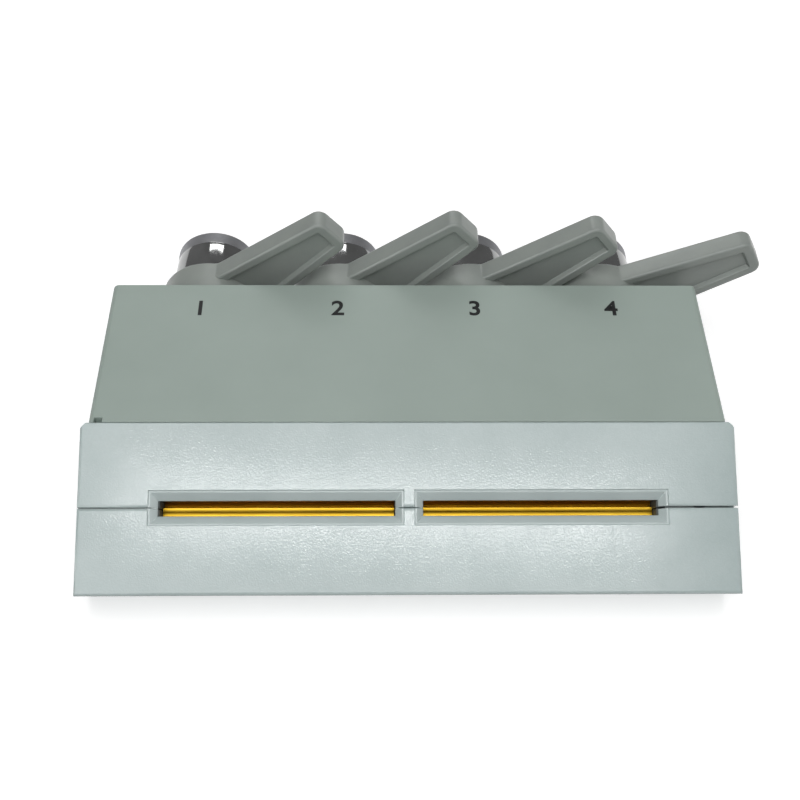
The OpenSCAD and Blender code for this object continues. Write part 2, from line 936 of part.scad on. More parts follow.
housing();
base_plate();
rear_panel();
upper_jaw();
lower_jaw();
for (s = [0, 1]) for (h = [0, 1]) {
    place = str(sides[s], "_", halves[h], "_");
    carrier(2 * s - 1, 1 - 2 * h);
    contact(2 * s - 1, 1 - 2 * h);
    terminal(2 * s - 1, 1 - 2 * h);
}
for (i = [0:3]) {
    lever(i);
    coupling_sleeve(i);
    plug_body(i);
    plug_insulator(i);
    centre_pin(i);
    panel_nut(i);
    spring_washer(i);
    retaining_ring(i);
    signal_lead(i);
}
base_screws();
panel_screws();
block_screws();
jaw_screws();
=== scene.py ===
# %% [markdown]
# # A plug-on test fixture for an impedance meter
#
# The object is a flat grey housing, small enough to hold in one hand. Four bayonet plugs with
# plastic levers stand out of its back, and a pale sloping block with two slots closes its front.
# Gilt spring leaves wait inside the slots for a component's wires. The solid model already has
# every piece in its true place, so this lesson dresses it: pieces whose edges and bends catch the
# light are built again with rounded edges, and everything gets a finish of its own.

# %% Load the frame
import math

import bmesh
import bpy
from mathutils import Matrix, Vector, noise


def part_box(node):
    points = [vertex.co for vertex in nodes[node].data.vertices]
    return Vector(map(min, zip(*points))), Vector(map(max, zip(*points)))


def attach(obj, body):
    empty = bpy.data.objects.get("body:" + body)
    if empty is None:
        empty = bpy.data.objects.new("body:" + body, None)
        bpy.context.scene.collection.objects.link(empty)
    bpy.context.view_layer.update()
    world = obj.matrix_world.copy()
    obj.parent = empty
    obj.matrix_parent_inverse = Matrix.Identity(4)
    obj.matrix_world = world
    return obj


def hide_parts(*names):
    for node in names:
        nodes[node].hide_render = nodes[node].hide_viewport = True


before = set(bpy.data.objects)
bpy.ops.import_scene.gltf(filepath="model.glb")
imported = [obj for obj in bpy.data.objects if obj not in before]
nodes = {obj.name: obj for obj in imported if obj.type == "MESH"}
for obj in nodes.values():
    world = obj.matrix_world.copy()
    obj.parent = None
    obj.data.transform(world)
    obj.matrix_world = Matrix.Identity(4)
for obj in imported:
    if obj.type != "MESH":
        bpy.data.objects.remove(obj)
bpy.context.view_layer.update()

# %% [markdown]
# ## The sizes that the pieces share
#
# Blender works in metres here, but a small object is easier to read in millimetres. So shapes are
# drawn in millimetres and made small once, when they become a mesh. Two helper frames do most of
# the placing: one lies on the sloping face, with Z out of it, and one lies on a plug's axis, with Z
# running back towards the instrument.

# %% Sizes and helper frames
MM = 0.001
housing_low, housing_high = [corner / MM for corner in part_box("housing")]
housing_w = housing_high.x - housing_low.x
housing_d = housing_high.y - housing_low.y
housing_h = housing_high.z
rear_y = housing_high.y
wall = 1.5
slope = math.radians(29)
top_d = 28.3
face_len = 25.4
face_top_y = rear_y - top_d
block_t = (housing_h - face_len * math.sin(slope)) / math.cos(slope)
block_w = 97.4
parting = face_len / 2
axis_deep = 10.25
axis_z = housing_h - axis_deep
plug_pitch = 22.0
lever_angles = [40.2, 41.0, 38.0, 28.6]

on_face = Matrix.Translation((0, face_top_y, housing_h)) @ Matrix.Rotation(slope, 4, "X")


def plug_x(i):
    return (i - 1.5) * plug_pitch


def on_axis(i):
    """The frame of plug i: Z runs back along its axis, and X points along its lever."""
    place = Matrix.Translation((plug_x(i), rear_y, axis_z)) @ Matrix.Rotation(-math.pi / 2, 4, "X")
    return place @ Matrix.Rotation(math.radians(-lever_angles[i]), 4, "Z")


print(f"housing {housing_w:.1f} x {housing_d:.1f} x {housing_h:.1f} mm, block {block_t:.2f} mm thick")

# %% [markdown]
# ## Tools for making pieces
#
# A bmesh is a mesh that a script can edit edge by edge. Each piece is drawn as one, has its edges
# rounded, and only then becomes an object. Real moulded and sheet pieces never have knife edges: a
# rounding of a few tenths of a millimetre is what gives each edge its thin line of light. A cut
# through a curved wall is left to Blender's exact boolean, which needs objects, so the helper makes
# them for a moment and removes them again.

# %% Drawing tools
def prism(outline, low, high):
    """A bmesh prism over a flat outline of (x, y) points, between two heights."""
    bm = bmesh.new()
    under = [bm.verts.new((x, y, low)) for x, y in outline]
    over = [bm.verts.new((x, y, high)) for x, y in outline]
    bm.faces.new(reversed(under))
    bm.faces.new(over)
    for k in range(len(outline)):
        n = (k + 1) % len(outline)
        bm.faces.new((under[k], under[n], over[n], over[k]))
    bmesh.ops.recalc_face_normals(bm, faces=bm.faces)
    return bm


def box(low, high):
    (x0, y0, z0), (x1, y1, z1) = low, high
    return prism([(x0, y0), (x1, y0), (x1, y1), (x0, y1)], z0, z1)


def polar(r, a):
    return (r * math.cos(a), r * math.sin(a))


def revolve(profile, steps=96):
    """A bmesh ring from a closed outline of (radius, height) points, turned about Z."""
    bm = bmesh.new()
    rings = []
    for s in range(steps):
        a = 2 * math.pi * s / steps
        rings.append([bm.verts.new((*polar(r, a), z)) for r, z in profile])
    for s in range(steps):
        here, there = rings[s], rings[(s + 1) % steps]
        for k in range(len(profile)):
            n = (k + 1) % len(profile)
            bm.faces.new((here[k], there[k], there[n], here[n]))
    bmesh.ops.recalc_face_normals(bm, faces=bm.faces)
    return bm


def loft(sections):
    """A closed bmesh tube through sections with equal point counts, with both ends filled."""
    bm = bmesh.new()
    loops = [[bm.verts.new(p) for p in section] for section in sections]
    for a, b in zip(loops, loops[1:]):
        for k in range(len(a)):
            n = (k + 1) % len(a)
            bm.faces.new((a[k], a[n], b[n], b[k]))
    bm.faces.new(reversed(loops[0]))
    bm.faces.new(loops[-1])
    bmesh.ops.recalc_face_normals(bm, faces=bm.faces)
    return bm


print("drawing tools: prism, box, revolve and loft")

# %% Cutting and rounding tools
WELD = 0.0005  # mm, within which two points are one
FLAT = math.radians(0.3)  # within which two faces are one


def as_object(name, bm):
    mesh = bpy.data.meshes.new(name)
    bm.to_mesh(mesh)
    bm.free()
    obj = bpy.data.objects.new(name, mesh)
    bpy.context.scene.collection.objects.link(obj)
    return obj


def as_bmesh(obj):
    """The shape of an object, as its modifiers leave it."""
    mesh = bpy.data.meshes.new_from_object(obj.evaluated_get(bpy.context.evaluated_depsgraph_get()))
    bm = bmesh.new()
    bm.from_mesh(mesh)
    bpy.data.meshes.remove(mesh)
    return bm


def carve(body, tools, operation="DIFFERENCE"):
    """Cuts the tools from the body, or joins them to it, with exact booleans. All are bmeshes."""
    base = as_object("carve_base", body)
    helpers = [as_object("carve_tool", tool) for tool in tools]
    for helper in helpers:
        cut = base.modifiers.new("carve", "BOOLEAN")
        cut.operation = operation
        cut.solver = "EXACT"
        cut.object = helper
    out = as_bmesh(base)
    for obj in [base, *helpers]:
        old = obj.data
        bpy.data.objects.remove(obj)
        bpy.data.meshes.remove(old)
    bmesh.ops.remove_doubles(out, verts=out.verts, dist=WELD)
    bmesh.ops.dissolve_limit(out, angle_limit=FLAT, verts=out.verts, edges=out.edges)
    return out


def both_ends(edge, test):
    """Whether the places of both ends of an edge pass a test."""
    return all(test(v.co) for v in edge.verts)


def sharp_edges(bm, degrees, keep=lambda edge: True):
    bm.normal_update()
    limit = math.radians(degrees)
    return [e for e in bm.edges if e.is_manifold and e.calc_face_angle(0) > limit and keep(e)]


def round_edges(bm, edges, width, steps):
    bmesh.ops.bevel(
        bm, geom=edges, offset=width, offset_type="OFFSET", segments=steps, profile=0.5, affect="EDGES"
    )


print("cutting and rounding tools: carve, sharp_edges and round_edges")


# %% From a bmesh to a piece
def finished(name, bm, place, material, sharp=42):
    """A bmesh in millimetres becomes an object in the frame: smooth, with hard corners marked."""
    bm.transform(Matrix.Scale(MM, 4) @ place)
    if place.determinant() < 0:
        bmesh.ops.reverse_faces(bm, faces=bm.faces)
    bm.normal_update()
    for f in bm.faces:
        f.smooth = True
    for e in bm.edges:
        e.smooth = e.is_manifold and e.calc_face_angle(0) < math.radians(sharp)
    obj = as_object(name, bm)
    obj.data.materials.append(material)
    level = obj.modifiers.new("even_light", "WEIGHTED_NORMAL")
    level.keep_sharp = True
    return obj


print("pieces are drawn in millimetres and made", MM, "times as large")

# %% [markdown]
# ## Finishes
#
# Every finish is a small node tree. The shader gets a colour, a roughness and a bump, and noise of
# the right size makes each of them vary a little, because no painted, moulded or plated surface is
# even. The noise reads Object coordinates: the pieces sit at the origin with their place in their
# mesh, so a pattern keeps its true size and stays put when a lever turns. Colours are written as
# the eye sees them on a screen and turned into light values once.

# %% Finish tools
def light(r, g, b):
    """Screen colour from 0 to 255, as linear light."""
    def one(c):
        c /= 255
        return c / 12.92 if c <= 0.04045 else ((c + 0.055) / 1.055) ** 2.4

    return (one(r), one(g), one(b), 1.0)


def set_range(node, *numbers):
    """Gives a Map Range node the two ends of its input, and then of its output."""
    for socket, number in zip(("From Min", "From Max", "To Min", "To Max"), numbers):
        node.inputs[socket].default_value = number


class Finish:
    """One material with a Principled shader, and short ways to drive its sockets."""

    spread = (0.3, 0.7)  # where most of a noise lies

    def __init__(self, name, metallic=0.0, **sockets):
        self.material = bpy.data.materials.new(name)
        self.material.use_nodes = True
        self.tree = self.material.node_tree
        self.tree.nodes.clear()
        self.shader = self.node("ShaderNodeBsdfPrincipled")
        out = self.node("ShaderNodeOutputMaterial")
        self.tree.links.new(self.shader.outputs["BSDF"], out.inputs["Surface"])
        self.coords = self.node("ShaderNodeTexCoord").outputs["Object"]
        self.shader.inputs["Metallic"].default_value = metallic
        for socket, value in sockets.items():
            self.shader.inputs[socket.replace("_", " ")].default_value = value

    def node(self, kind, **settings):
        made = self.tree.nodes.new(kind)
        for key, value in settings.items():
            setattr(made, key, value)
        return made

    def grain(self, size_mm, detail, turn=(0, 0, 0), stretch=(1, 1, 1), rough=0.55):
        """Noise whose features are about size_mm across, on turned and scaled coordinates."""
        mapping = self.node("ShaderNodeMapping")
        mapping.inputs["Rotation"].default_value = turn
        mapping.inputs["Scale"].default_value = stretch
        self.tree.links.new(self.coords, mapping.inputs["Vector"])
        tex = self.node("ShaderNodeTexNoise")
        tex.inputs["Scale"].default_value = 1 / (size_mm * MM)
        tex.inputs["Detail"].default_value = detail
        tex.inputs["Roughness"].default_value = rough
        self.tree.links.new(mapping.outputs["Vector"], tex.inputs["Vector"])
        return tex.outputs["Fac"]

    def added(self, first, second, share):
        """The first value with a share of the second on top."""
        total = self.node("ShaderNodeMath", operation="MULTIPLY_ADD")
        total.inputs[1].default_value = share
        self.tree.links.new(second, total.inputs[0])
        self.tree.links.new(first, total.inputs[2])
        return total.outputs["Value"]

    def colour(self, value, dark, bright, spread=spread):
        """Base colour from dark to bright, as the value goes through its spread."""
        ramp = self.node("ShaderNodeValToRGB")
        for mark, at, shade in zip(ramp.color_ramp.elements, spread, (dark, bright)):
            mark.position = at
            mark.color = shade
        self.tree.links.new(value, ramp.inputs["Fac"])
        self.tree.links.new(ramp.outputs["Color"], self.shader.inputs["Base Color"])

    def roughness(self, value, low, high):
        scale = self.node("ShaderNodeMapRange")
        set_range(scale, *self.spread, low, high)
        self.tree.links.new(value, scale.inputs["Value"])
        self.tree.links.new(scale.outputs["Result"], self.shader.inputs["Roughness"])

    def bump(self, value, depth_mm):
        node = self.node("ShaderNodeBump")
        node.inputs["Distance"].default_value = depth_mm * MM
        self.tree.links.new(value, node.inputs["Height"])
        self.tree.links.new(node.outputs["Normal"], self.shader.inputs["Normal"])


print("half grey on a screen is", round(light(128, 128, 128)[0], 3), "as light")

# %% [markdown]
# The housing's paint is a satin green-grey with a faint orange peel. The block is a pale moulded
# plastic with a fine sparkling grain, and faint lines from the tool that cut its mould run along
# it. The ledges and bevels around the slots get a rougher finish of their own, whose paler colour
# is painted light that brightens these shaded faces. The levers are smoother and a little darker
# than the housing.

# %% Paint and plastics
paint = Finish("satin_paint", IOR=1.46)
paint.colour(paint.grain(14, 4), light(153, 166, 159), light(158, 171, 164))
paint.roughness(paint.grain(3, 3), 0.42, 0.5)
paint.bump(paint.grain(0.6, 2), 0.012)

pale = Finish("pale_moulding", IOR=1.5)
mottle = pale.added(pale.grain(9, 4), pale.grain(0.42, 3, rough=0.7), 0.5)
pale.colour(mottle, light(176, 190, 189), light(186, 199, 198), spread=(0.55, 0.95))
tool_lines = pale.grain(0.5, 2, turn=(-slope, 0, 0), stretch=(0.012, 1, 1))
sparkle = pale.added(pale.grain(0.22, 0), tool_lines, 0.1)
pale.roughness(pale.grain(0.35, 2), 0.07, 0.11)
pale.bump(sparkle, 0.0115)

# The slots' ledges and bevels: rougher, and paler in colour, which is painted light on these shaded
# faces.
slot_painted_light = Finish("slot_painted_light_moulding", IOR=1.5)
slot_painted_light.colour(slot_painted_light.grain(9, 4), light(184, 196, 195), light(192, 203, 202))
slot_painted_light.roughness(slot_painted_light.grain(0.35, 2), 0.16, 0.26)
slot_painted_light.bump(slot_painted_light.grain(0.5, 2), 0.006)

lever_plastic = Finish("lever_moulding", IOR=1.48)
lever_plastic.colour(lever_plastic.grain(5, 4), light(139, 145, 141), light(146, 152, 147))
lever_plastic.roughness(lever_plastic.grain(1.2, 3), 0.28, 0.36)
lever_plastic.bump(lever_plastic.grain(0.3, 2), 0.008)

dark_plastic = Finish("carrier_moulding")
dark_plastic.colour(dark_plastic.grain(2, 4), light(84, 92, 92), light(98, 106, 106))
dark_plastic.roughness(dark_plastic.grain(0.4, 3), 0.5, 0.65)
dark_plastic.bump(dark_plastic.grain(0.2, 2), 0.01)

white_polymer = Finish("white_polymer", IOR=1.38)
white_polymer.colour(white_polymer.grain(1.5, 3), light(226, 226, 218), light(236, 236, 230))
white_polymer.roughness(white_polymer.grain(0.6, 3), 0.34, 0.46)

sheath = Finish("lead_sheath")
sheath.colour(sheath.grain(1.5, 3), light(150, 34, 26), light(166, 42, 32))
sheath.roughness(sheath.grain(0.5, 3), 0.3, 0.42)
plastics = (pale, slot_painted_light, lever_plastic, dark_plastic, white_polymer, sheath)
print("paint and plastics:", [f.material.name for f in (paint, *plastics)])

# %% [markdown]
# Metals get their look from what they mirror, so their colour hardly varies and their roughness
# does the work. Gold leaf is drawn through rollers, so its roughness streaks along the leaf. The
# plated sleeves are bright with a few dull patches, and sheet metal is brushed along its length.
# The ink of the printed numbers comes last.

# %% Metals and ink
gold = Finish("gold_leaf", metallic=1.0)
streaks = gold.grain(0.4, 4, turn=(-slope, 0, 0), stretch=(0.03, 1, 1))
gold.colour(gold.grain(2.5, 4, stretch=(0.3, 1, 1)), light(168, 134, 36), light(182, 148, 46))
gold.roughness(streaks, 0.26, 0.42)
gold.bump(streaks, 0.006)

chrome = Finish("bright_plating", metallic=1.0)
chrome.colour(chrome.grain(3, 4), light(140, 141, 140), light(152, 153, 153))
chrome.roughness(chrome.grain(1.1, 4), 0.05, 0.12)
chrome.bump(chrome.grain(0.15, 2), 0.0015)

band = Finish("dull_plating", metallic=1.0)
band.colour(band.grain(2, 4), light(150, 151, 154), light(162, 163, 166))
band.roughness(band.grain(0.6, 4), 0.5, 0.62)

nickel = Finish("nickel_plating", metallic=1.0)
nickel.colour(nickel.grain(2, 4), light(186, 184, 176), light(200, 198, 190))
nickel.roughness(nickel.grain(0.8, 4), 0.2, 0.32)

sheet = Finish("brushed_sheet", metallic=1.0)
brushing = sheet.grain(0.25, 4, stretch=(0.02, 1, 1))
sheet.colour(sheet.grain(6, 4), light(172, 174, 174), light(186, 188, 188))
sheet.roughness(brushing, 0.34, 0.5)
sheet.bump(brushing, 0.004)

screw_steel = Finish("screw_steel", metallic=1.0)
screw_steel.colour(screw_steel.grain(1, 4), light(160, 161, 164), light(178, 179, 182))
screw_steel.roughness(screw_steel.grain(0.4, 4), 0.24, 0.4)

ink = Finish("printed_ink")
ink.colour(ink.grain(0.5, 3), light(18, 19, 20), light(28, 29, 30))
ink.roughness(ink.grain(0.3, 3), 0.42, 0.55)
metals = (gold, chrome, band, nickel, sheet, screw_steel)
print("metals and ink:", [f.material.name for f in (*metals, ink)])

# %% [markdown]
# ## The housing
#
# The housing is one bent and painted shell: a flat top, two sides, and a sloping wall behind the
# front block. It is open below and behind, where the base plate and the rear panel close it. Its
# section is the same along its whole width, so it is drawn as an outer and an inner outline joined
# by rims. The two long upper edges get the wide bend radius, and the other outer edges a thin one.
# A small square relief shows in the front left corner, where the sheet was folded.

# %% Housing outlines
def profile(down, deep):
    """A point of the side outline, from its distance down the face and its depth below it."""
    return (
        face_top_y - down * math.cos(slope) + deep * math.sin(slope),
        housing_h - down * math.sin(slope) - deep * math.cos(slope),
    )


block_back = block_t + wall
inner_down = (housing_h - block_back * math.cos(slope)) / math.sin(slope)
outer_line = [
    (rear_y, 0),
    (rear_y, housing_h),
    profile(0, 0),
    profile(0, block_t),
    profile(face_len, block_t),
]
inner_line = [
    (rear_y, 0),
    (rear_y, housing_h - wall),
    profile(-wall, wall * (1 + math.sin(slope)) / math.cos(slope)),
    profile(-wall, block_back),
    profile(inner_down, block_back),
]
print("housing outlines:", len(outer_line), "points outside and", len(inner_line), "inside")

# %% Housing
shell = bmesh.new()
outer, inner = {}, {}
for s in (-1, 1):
    outer[s] = [shell.verts.new((s * housing_w / 2, y, z)) for y, z in outer_line]
    inner[s] = [shell.verts.new((s * (housing_w / 2 - wall), y, z)) for y, z in inner_line]
    shell.faces.new(outer[s])
    shell.faces.new(inner[s])
    shell.faces.new((outer[s][0], outer[s][1], inner[s][1], inner[s][0]))
    shell.faces.new((outer[s][4], outer[s][0], inner[s][0], inner[s][4]))
for k in (1, 2, 3):
    shell.faces.new((outer[-1][k], outer[1][k], outer[1][k + 1], outer[-1][k + 1]))
    shell.faces.new((inner[-1][k], inner[1][k], inner[1][k + 1], inner[-1][k + 1]))
for k in (1, 4):
    shell.faces.new((outer[-1][k], outer[1][k], inner[1][k], inner[-1][k]))
bmesh.ops.recalc_face_normals(shell, faces=shell.faces)
bend_r, thin_r = 1.0, 0.22
seen_above, seen_behind = 15, rear_y - 1
long_edges = [e for e in shell.edges if {*e.verts} in ({*outer[-1][1:3]}, {*outer[1][1:3]})]
round_edges(shell, long_edges, bend_r, 6)
thin_edges = [
    e for e in sharp_edges(shell, 50)
    if both_ends(e, lambda p: p.z > seen_above or p.y > seen_behind)
]
round_edges(shell, thin_edges, thin_r, 3)
relief_x, relief_w, relief_d, relief_deep = 0.9 - housing_w / 2, 1.25, 0.9, 1.45
over = 1  # how far a cutting tool stands out
relief = box(
    (relief_x, face_top_y - over, housing_h - relief_deep),
    (relief_x + relief_w, face_top_y + relief_d, housing_h + over),
)
shell = carve(shell, [relief])
housing = finished("housing_shell", shell, Matrix.Identity(4), paint.material)
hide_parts("housing")
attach(housing, "fixture")
print("housing:", len(housing.data.polygons), "faces,", len(long_edges), "wide bends")

# %% [markdown]
# ## The front block
#
# The block is moulded in two halves that meet on a fine line, halfway down the face. Each slot is
# cut into both halves: a shallow ledge, a bevel that leads a wire inwards, and a narrow opening
# with a cavity for the leaves behind it. The halves are drawn flat in the frame of the face. The
# slot tools are cut from both, and then the edges near the face are rounded just enough to show the
# ledge as a thin bright frame.

# %% Slot and parting tools
slot_len, slot_gap, bevel, end_bevel, ledge = 35.0, 2.25, 1.15, 0.95, 0.3
recess_len = slot_len + 2 * (end_bevel + ledge)
recess_w = slot_gap + 2 * (bevel + ledge)
bridge, lip = 1.6, 0.4
slot_pitch = recess_len + bridge
lip_deep = ledge + bevel + lip
cavity_half = 3.8
half_w = block_w / 2
fine_line, open_line = (0.075, 1.2), (0.16, 2.6)  # half width and depth


def rectangle(w, h, z):
    return [(-w / 2, -h / 2, z), (w / 2, -h / 2, z), (w / 2, h / 2, z), (-w / 2, h / 2, z)]


def slot_tool(side):
    """One slot as a single closed tool: ledge, bevel, throat and cavity, widest at both ends."""
    tool = loft([
        rectangle(recess_len, recess_w, over),
        rectangle(recess_len, recess_w, -ledge),
        rectangle(slot_len + 2 * end_bevel, slot_gap + 2 * bevel, -ledge),
        rectangle(slot_len, slot_gap, -ledge - bevel),
        rectangle(slot_len, slot_gap, -lip_deep),
        rectangle(recess_len, 2 * cavity_half, -lip_deep),
        rectangle(recess_len, 2 * cavity_half, -block_t - over),
    ])
    bmesh.ops.translate(tool, verts=tool.verts, vec=(side * slot_pitch / 2, -parting, 0))
    return tool


def parting_cut(side):
    """The line between the halves: fine and shallow, but open and deep at the right."""
    left, change, right = -half_w - over, slot_pitch / 2, half_w + over
    tools = []
    for start, end, (width, deep) in ((left, change, fine_line), (change, right, open_line)):
        near, far = sorted((-parting + side * width, -parting - side))
        tools.append(box((start, near, -deep), (end, far, over)))
    return tools


print("slots:", recess_len, "x", round(recess_w, 2), "mm at the face,", slot_gap, "mm wide inside")

# %% Block halves
NEAR = 0.01  # mm, within which two places agree
corner_cut, side_r, front_r, slot_r = 0.9, 0.5, 0.3, 0.09
rim_half, rim_deep = 2.7, 2.0


def at_side(p):
    return abs(abs(p.x) - half_w) < NEAR and p.z > -NEAR


def at_front(edge):
    """Whether an edge of a half runs along the face, away from the other half."""
    a, b = [v.co for v in edge.verts]
    return min(a.z, b.z) > -NEAR and abs(a.y - b.y) < NEAR and abs(a.y + parting) > 0.1


def by_slot(p):
    return p.z > -rim_deep and abs(p.x) < slot_pitch and abs(p.y + parting) < rim_half


def block_half(name, outline, side):
    """One half with its slots cut, its edges rounded, and its slot faces in the finish of painted
    light.
    """
    half = prism(outline, -block_t, 0)
    round_edges(half, [e for e in half.edges if both_ends(e, at_side)], side_r, 4)
    round_edges(half, sharp_edges(half, 50, at_front), front_r, 3)
    half = carve(half, [slot_tool(-1), slot_tool(1), *parting_cut(side)])
    round_edges(half, sharp_edges(half, 25, lambda e: both_ends(e, by_slot)), slot_r, 2)
    # Ledge and bevel faces take the second finish, whose paler colour is painted light.
    for f in half.faces:
        c = f.calc_center_median()
        in_slot = abs(c.y + parting) < recess_w / 2 and abs(abs(c.x) - slot_pitch / 2) < recess_len / 2
        f.material_index = int(in_slot and -ledge - bevel < c.z < -0.05)
    piece = finished(name, half, on_face, pale.material, 50)
    piece.data.materials.append(slot_painted_light.material)
    return piece


upper_outline = [
    (-half_w, -parting), (half_w, -parting), (half_w, -corner_cut),
    (half_w - corner_cut, 0), (-half_w + corner_cut, 0), (-half_w, -corner_cut),
]
lower_outline = [(-half_w, -face_len), (half_w, -face_len), (half_w, -parting), (-half_w, -parting)]
upper = block_half("block_upper_half", upper_outline, 1)
lower = block_half("block_lower_half", lower_outline, -1)
for half, node in ((upper, "upper_jaw"), (lower, "lower_jaw")):
    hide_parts(node)
    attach(half, "fixture")
block_faces = [len(half.data.polygons) for half in (upper, lower)]
print("front block:", block_faces, "faces, slots", round(slot_pitch, 1), "mm apart")

# %% [markdown]
# ## The contact leaves
#
# Each leaf is a strip of plated bronze, bent like a step: a lead-in runs down from the slot's lip,
# a narrow shelf faces outwards, and behind its nose, which grips the wire, the strip runs back to a
# root in the carrier. What the eye sees is the light on the shelf and the bends, so the bends are
# true arcs. The path is rounded first, then given a thickness, and then swept along the slot in
# many steps, so that the strip can waver by a hundredth of a millimetre as rolled strip does.

# %% Leaf outline
leaf_t, leaf_bend = 0.3, 0.35
pivot_deep = block_t - 1.34
nose_deep = pivot_deep - 3.2
nose_v, nose_shift = 0.225, 0.3
root_v = 1.3


def fractions(steps):
    """The numbers from 0 to 1 in equal steps, with both ends."""
    return [k / steps for k in range(steps + 1)]


def leaf_path(half):
    """The leaf's middle line, out from the parting line and deep below the face."""
    nose = nose_v - half * nose_shift
    return [
        (slot_gap / 2 + 0.28, lip_deep + 0.3 + leaf_t / 2),
        (nose + 0.72, nose_deep - 0.08),
        (nose, nose_deep),
        (nose + 0.35, nose_deep + 0.7),
        (root_v, nose_deep + 1.6),
        (root_v, pivot_deep),
    ]


def with_round_bends(path, radius):
    """The path with each inner corner replaced by an arc that touches both its sides."""
    most = 0.45  # of a side's length, so that two arcs never meet
    points = [Vector(p) for p in path]
    out = [points[0]]
    for a, b, c in zip(points, points[1:], points[2:]):
        back, ahead = (a - b).normalized(), (c - b).normalized()
        half = back.angle(ahead) / 2
        reach = min(radius / math.tan(half), (a - b).length * most, (c - b).length * most)
        centre = b + (back + ahead).normalized() * (reach / math.cos(half))
        start, end = b + back * reach - centre, b + ahead * reach - centre
        out += [centre + start.slerp(end, f) for f in fractions(6)]
    return out + [points[-1]]


def sideways(path, k, reach):
    """A step of the given length across a path, at its point k."""
    along = (path[min(k + 1, len(path) - 1)] - path[max(k - 1, 0)]).normalized()
    return Vector((-along.y, along.x)) * reach


def thickened(path, t):
    """A closed outline at half a thickness on both sides of a path."""
    steps = [sideways(path, k, t / 2) for k in range(len(path))]
    near = [p + step for p, step in zip(path, steps)]
    far = [p - step for p, step in zip(path, steps)]
    return near + far[::-1]


leaf_outlines = {h: thickened(with_round_bends(leaf_path(h), leaf_bend), leaf_t) for h in (1, -1)}
print("leaf outlines:", [len(outline) for outline in leaf_outlines.values()], "points")

# %% Contact leaves
leaf_start, leaf_end, leaf_steps = -slot_len / 2 + 0.15, slot_len / 2 - 0.25, 60
leaf_len = leaf_end - leaf_start
waver_most, waver_rate, waver_deep = 0.012, 0.35, 6


def leaf_section(outline, x, seed):
    """The outline at one place along the slot, wavering most at the lip and not at all at the root."""
    waver = waver_most * noise.noise(Vector((x * waver_rate, seed, 0.0)))
    return [(x, p.x + waver * max(0.0, (pivot_deep - p.y) / waver_deep), -p.y) for p in outline]


for s, side in ((-1, "left"), (1, "right")):
    for h, half in ((1, "upper"), (-1, "lower")):
        seed = 3.1 * s + 7.7 * h
        stations = [leaf_start + leaf_len * f for f in fractions(leaf_steps)]
        leaf = loft([leaf_section(leaf_outlines[h], x, seed) for x in stations])
        in_slot = Matrix.Translation((s * slot_pitch / 2, -parting, 0)) @ Matrix.Diagonal((s, h, 1, 1))
        place = on_face @ in_slot
        piece = finished(f"{side}_{half}_leaf", leaf, place, gold.material, 60)
        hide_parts(f"{side}_{half}_contact")
        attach(piece, f"{side}_{half}_leaf")
print("contact leaves:", round(leaf_len, 1), "mm long in", leaf_steps, "steps")

# %% [markdown]
# ## The levers
#
# A lever is a moulded hub with a hollow arm. The arm tapers towards its tip, its outer edges are
# well rounded for the finger, and its front is a pocket with a rim around it. A fillet leads the
# arm's sides out of the hub. The pocket is cut by a tool that narrows inwards in small steps, so
# its mouth comes out rounded and its walls have the draft that lets such a moulding leave its
# mould.

# %% Lever shapes
hub_r, hub_front, hub_reach, hub_bore = 8.4, 0.5, 7.1, 6.38
hub_round, hub_chamfer = 0.6, 0.25
arm_len, arm_tip, arm_taper, arm_t = 28.0, 3.4, math.radians(5.1), 3.7
arm_front = hub_reach - arm_t
arm_edge_r, arm_tip_r, arm_fillet, fillet_sink = 0.5, 1.8, 0.9, 0.03
root_r, root_x = 7.4, 5
pocket_tip_r = 0.4
pocket_walls = [  # how far in from the arm's sides, and how deep
    (1.42, -1), (1.42, -0.005), (1.52, 0.03), (1.62, 0.1), (1.7, 0.24), (1.86, 0.6), (1.96, 0.75),
]


def arm_outline(inset, tip_r, fillet=0.0):
    """A loop from inside the hub's wall, by a fillet where one is given, round the tip and back."""
    sin, cos, tan = math.sin(arm_taper), math.cos(arm_taper), math.tan(arm_taper)
    tip = arm_len - inset
    side = arm_tip - inset / cos + inset * tan
    centre = (tip - tip_r, side + tip_r * tan - tip_r / cos)
    root_turn = math.asin((side + (tip - root_x) * tan) / root_r)
    upper = []
    for f in fractions(8):
        x, y = polar(tip_r, (math.pi / 2 - arm_taper) * f)
        upper.append((centre[0] + x, centre[1] + y))
    if fillet:
        along, out = Vector((-cos, sin)), Vector((sin, cos))
        base = Vector((tip, side)) + out * fillet
        reach = hub_r - fillet_sink + fillet
        middle = -base.dot(along) - math.sqrt(base.dot(along) ** 2 - base.length_squared + reach ** 2)
        pivot = base + along * middle
        on_line, on_hub = -out, -pivot.normalized()
        upper += [tuple(pivot + on_line.slerp(on_hub, f) * fillet) for f in fractions(6)]
        root_turn = min(root_turn, math.atan2(upper[-1][1], upper[-1][0]))
    root = [polar(root_r, root_turn - 2 * root_turn * f) for f in fractions(6)]
    return root + [(x, -y) for x, y in reversed(upper)] + upper


def lever_arm():
    """The arm, rounded at its free edges, with its pocket."""
    bm = prism(arm_outline(0, arm_tip_r, arm_fillet), arm_front, hub_reach)
    level = [e for e in bm.edges if abs(e.verts[0].co.z - e.verts[1].co.z) < NEAR]
    free = [e for e in level if both_ends(e, lambda p: p.xy.length > root_r + 0.1)]
    round_edges(bm, free, arm_edge_r, 4)
    pocket = loft([
        [(x, y, arm_front + deep) for x, y in arm_outline(inset, pocket_tip_r)]
        for inset, deep in pocket_walls
    ])
    return carve(bm, [pocket])


